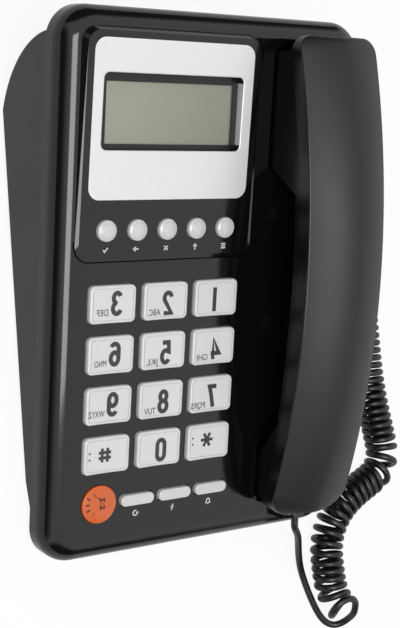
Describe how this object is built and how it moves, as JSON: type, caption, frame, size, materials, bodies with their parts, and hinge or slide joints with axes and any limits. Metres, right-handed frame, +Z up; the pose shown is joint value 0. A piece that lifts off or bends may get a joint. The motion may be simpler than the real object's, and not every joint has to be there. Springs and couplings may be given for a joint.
{
  "type": "landline telephone",
  "caption": "Sloped desk telephone with a display and push-button keypad, an arched handset that lifts out of a cradle with a hook switch, and a curly cord to its side.",
  "frame": {"origin": "on the desk under the middle of the body's outline, cord left out", "axes": "+X to the handset's side, +Y to the rear along the desk, +Z up from the desk"},
  "size_m": [0.1796, 0.2508, 0.0753],
  "materials": {
    "gloss_black": "glossy moulded ABS",
    "satin_black": "satin moulded ABS",
    "silver": "silver painted sheet",
    "clear": "clear acrylic",
    "lcd": "unlit liquid crystal glass",
    "white_key": "fine satin moulded ABS",
    "orange_key": "moulded ABS",
    "inner_plastic": "plain moulded ABS",
    "silicone": "moulded silicone",
    "foot_rubber": "moulded rubber",
    "board": "coated glass-epoxy sheet",
    "steel": "zinc plated steel",
    "transducer": "coated steel can",
    "plug_clear": "clear moulded polycarbonate",
    "cord_black": "matt extruded sheath"
  },
  "bodies": {
    "base": {"top_cover": "gloss_black", "bottom_cover": "satin_black", "display_panel": "gloss_black", "display_plate": "silver", "display_lens": "clear", "lcd_glass": "lcd", "lcd_holder": "inner_plastic", "key_mat": "silicone", "main_board": "board", "board_screws": "steel", "loudspeaker": "transducer", "hook_spring": "steel", "hook_switch": "inner_plastic", "line_socket": "inner_plastic", "cord_socket": "inner_plastic", "rubber_feet": "foot_rubber", "case_screws": "steel", "base_plug": "plug_clear", "curly_cord": "cord_black"},
    "handset": {"handset_outer_shell": "gloss_black", "handset_inner_shell": "satin_black", "earpiece": "transducer", "microphone": "transducer", "handset_weight": "steel", "handset_socket": "inner_plastic", "handset_screws": "steel", "handset_plug": "plug_clear"},
    "hook": {"hook_plunger": "satin_black"},
    "key_3": {"key_3": "white_key"},
    "key_2": {"key_2": "white_key"},
    "key_1": {"key_1": "white_key"},
    "key_6": {"key_6": "white_key"},
    "key_5": {"key_5": "white_key"},
    "key_4": {"key_4": "white_key"},
    "key_9": {"key_9": "white_key"},
    "key_8": {"key_8": "white_key"},
    "key_7": {"key_7": "white_key"},
    "key_hash": {"key_hash": "white_key"},
    "key_0": {"key_0": "white_key"},
    "key_star": {"key_star": "white_key"},
    "display_button_1": {"display_button_1": "white_key"},
    "display_button_2": {"display_button_2": "white_key"},
    "display_button_3": {"display_button_3": "white_key"},
    "display_button_4": {"display_button_4": "white_key"},
    "display_button_5": {"display_button_5": "white_key"},
    "speaker_button": {"speaker_button": "orange_key"},
    "redial_button": {"redial_button": "white_key"},
    "flash_button": {"flash_button": "white_key"},
    "ringer_button": {"ringer_button": "white_key"}
  },
  "joints": [
    {"name": "handset_lift", "type": "slide", "parent": "base", "child": "handset", "axis": [0, -0.1925, 0.9813], "range_m": [0, 0.06]},
    {"name": "hook_rise", "type": "slide", "parent": "base", "child": "hook", "axis": [0, -0.1925, 0.9813], "range_m": [0, 0.004], "deforming": ["hook_spring"]},
    {"name": "key_3_press", "type": "slide", "parent": "base", "child": "key_3", "axis": [0, 0.1925, -0.9813], "range_m": [0, 0.0015], "stiffness_N_per_m": 300, "springref_m": -0.001, "deforming": ["key_mat"]},
    {"name": "key_2_press", "type": "slide", "parent": "base", "child": "key_2", "axis": [0, 0.1925, -0.9813], "range_m": [0, 0.0015], "stiffness_N_per_m": 300, "springref_m": -0.001, "deforming": ["key_mat"]},
    {"name": "key_1_press", "type": "slide", "parent": "base", "child": "key_1", "axis": [0, 0.1925, -0.9813], "range_m": [0, 0.0015], "stiffness_N_per_m": 300, "springref_m": -0.001, "deforming": ["key_mat"]},
    {"name": "key_6_press", "type": "slide", "parent": "base", "child": "key_6", "axis": [0, 0.1925, -0.9813], "range_m": [0, 0.0015], "stiffness_N_per_m": 300, "springref_m": -0.001, "deforming": ["key_mat"]},
    {"name": "key_5_press", "type": "slide", "parent": "base", "child": "key_5", "axis": [0, 0.1925, -0.9813], "range_m": [0, 0.0015], "stiffness_N_per_m": 300, "springref_m": -0.001, "deforming": ["key_mat"]},
    {"name": "key_4_press", "type": "slide", "parent": "base", "child": "key_4", "axis": [0, 0.1925, -0.9813], "range_m": [0, 0.0015], "stiffness_N_per_m": 300, "springref_m": -0.001, "deforming": ["key_mat"]},
    {"name": "key_9_press", "type": "slide", "parent": "base", "child": "key_9", "axis": [0, 0.1925, -0.9813], "range_m": [0, 0.0015], "stiffness_N_per_m": 300, "springref_m": -0.001, "deforming": ["key_mat"]},
    {"name": "key_8_press", "type": "slide", "parent": "base", "child": "key_8", "axis": [0, 0.1925, -0.9813], "range_m": [0, 0.0015], "stiffness_N_per_m": 300, "springref_m": -0.001, "deforming": ["key_mat"]},
    {"name": "key_7_press", "type": "slide", "parent": "base", "child": "key_7", "axis": [0, 0.1925, -0.9813], "range_m": [0, 0.0015], "stiffness_N_per_m": 300, "springref_m": -0.001, "deforming": ["key_mat"]},
    {"name": "key_hash_press", "type": "slide", "parent": "base", "child": "key_hash", "axis": [0, 0.1925, -0.9813], "range_m": [0, 0.0015], "stiffness_N_per_m": 300, "springref_m": -0.001, "deforming": ["key_mat"]},
    {"name": "key_0_press", "type": "slide", "parent": "base", "child": "key_0", "axis": [0, 0.1925, -0.9813], "range_m": [0, 0.0015], "stiffness_N_per_m": 300, "springref_m": -0.001, "deforming": ["key_mat"]},
    {"name": "key_star_press", "type": "slide", "parent": "base", "child": "key_star", "axis": [0, 0.1925, -0.9813], "range_m": [0, 0.0015], "stiffness_N_per_m": 300, "springref_m": -0.001, "deforming": ["key_mat"]},
    {"name": "display_button_1_press", "type": "slide", "parent": "base", "child": "display_button_1", "axis": [0, 0.1925, -0.9813], "range_m": [0, 0.0015], "stiffness_N_per_m": 300, "springref_m": -0.001, "deforming": ["key_mat"]},
    {"name": "display_button_2_press", "type": "slide", "parent": "base", "child": "display_button_2", "axis": [0, 0.1925, -0.9813], "range_m": [0, 0.0015], "stiffness_N_per_m": 300, "springref_m": -0.001, "deforming": ["key_mat"]},
    {"name": "display_button_3_press", "type": "slide", "parent": "base", "child": "display_button_3", "axis": [0, 0.1925, -0.9813], "range_m": [0, 0.0015], "stiffness_N_per_m": 300, "springref_m": -0.001, "deforming": ["key_mat"]},
    {"name": "display_button_4_press", "type": "slide", "parent": "base", "child": "display_button_4", "axis": [0, 0.1925, -0.9813], "range_m": [0, 0.0015], "stiffness_N_per_m": 300, "springref_m": -0.001, "deforming": ["key_mat"]},
    {"name": "display_button_5_press", "type": "slide", "parent": "base", "child": "display_button_5", "axis": [0, 0.1925, -0.9813], "range_m": [0, 0.0015], "stiffness_N_per_m": 300, "springref_m": -0.001, "deforming": ["key_mat"]},
    {"name": "speaker_button_press", "type": "slide", "parent": "base", "child": "speaker_button", "axis": [0, 0.1925, -0.9813], "range_m": [0, 0.0015], "stiffness_N_per_m": 300, "springref_m": -0.001, "deforming": ["key_mat"]},
    {"name": "redial_button_press", "type": "slide", "parent": "base", "child": "redial_button", "axis": [0, 0.1925, -0.9813], "range_m": [0, 0.0015], "stiffness_N_per_m": 300, "springref_m": -0.001, "deforming": ["key_mat"]},
    {"name": "flash_button_press", "type": "slide", "parent": "base", "child": "flash_button", "axis": [0, 0.1925, -0.9813], "range_m": [0, 0.0015], "stiffness_N_per_m": 300, "springref_m": -0.001, "deforming": ["key_mat"]},
    {"name": "ringer_button_press", "type": "slide", "parent": "base", "child": "ringer_button", "axis": [0, 0.1925, -0.9813], "range_m": [0, 0.0015], "stiffness_N_per_m": 300, "springref_m": -0.001, "deforming": ["key_mat"]}
  ],
  "couplings": [
    {"joint": "hook_rise", "follows": "handset_lift", "ratio": 0.066667}
  ]
}
